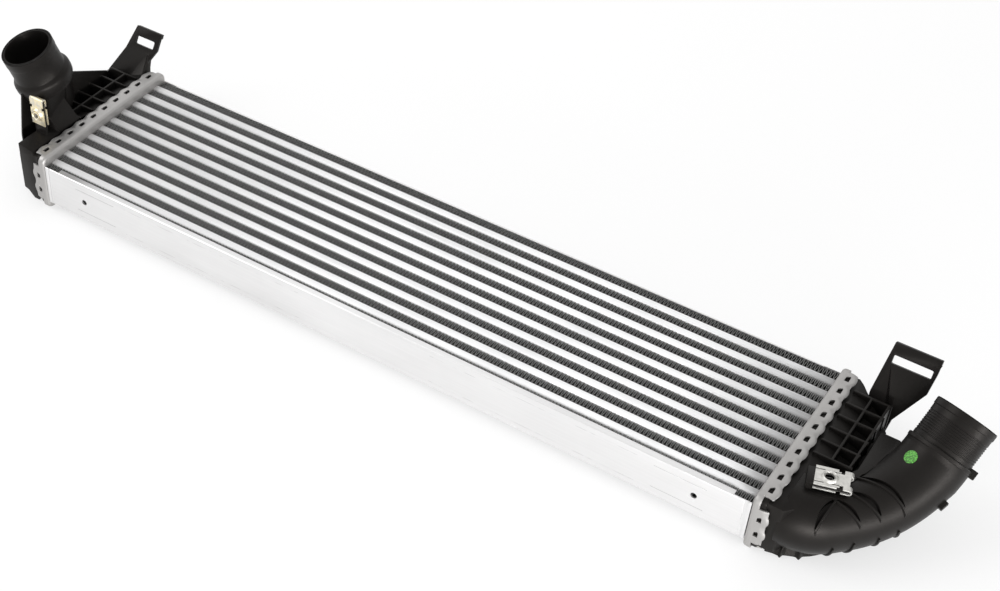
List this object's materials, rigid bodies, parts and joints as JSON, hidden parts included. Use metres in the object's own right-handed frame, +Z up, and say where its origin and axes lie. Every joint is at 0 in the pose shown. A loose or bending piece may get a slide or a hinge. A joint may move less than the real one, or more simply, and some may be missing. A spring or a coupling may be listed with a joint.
{
  "type": "charge air intercooler",
  "caption": "Flat-tube charge air cooler: finned core between two crimped headers, with moulded end tanks that carry angled hose stubs and slotted brackets.",
  "frame": {"origin": "centre of the finned core", "axes": "+X along the tubes to the tank with the elbow, +Y across the tubes to the brackets, +Z up through the core along the cooling air"},
  "size_m": [0.8259, 0.1704, 0.1279],
  "materials": {
    "tube": "satin",
    "turbulator": "satin",
    "air_fin": "satin",
    "side_plate": "satin",
    "header": "satin",
    "gasket": "matte",
    "tank": "satin",
    "clip_nut_left": "zinc plated",
    "clip_nut_right": "zinc plated",
    "inspection_mark": "matte"
  },
  "bodies": {
    "root": {"tube_01": "tube", "tube_02": "tube", "tube_03": "tube", "tube_04": "tube", "tube_05": "tube", "tube_06": "tube", "tube_07": "tube", "tube_08": "tube", "tube_09": "tube", "tube_10": "tube", "turbulator_01": "turbulator", "turbulator_02": "turbulator", "turbulator_03": "turbulator", "turbulator_04": "turbulator", "turbulator_05": "turbulator", "turbulator_06": "turbulator", "turbulator_07": "turbulator", "turbulator_08": "turbulator", "turbulator_09": "turbulator", "turbulator_10": "turbulator", "air_fin_01": "air_fin", "air_fin_02": "air_fin", "air_fin_03": "air_fin", "air_fin_04": "air_fin", "air_fin_05": "air_fin", "air_fin_06": "air_fin", "air_fin_07": "air_fin", "air_fin_08": "air_fin", "air_fin_09": "air_fin", "air_fin_10": "air_fin", "air_fin_11": "air_fin", "side_plate_back": "side_plate", "side_plate_front": "side_plate", "header_left": "header", "header_right": "header", "gasket_left": "gasket", "gasket_right": "gasket", "tank_left": "tank", "tank_right": "tank", "clip_nut_left": "clip_nut_left", "clip_nut_right": "clip_nut_right", "inspection_mark": "inspection_mark"}
  },
  "joints": []
}
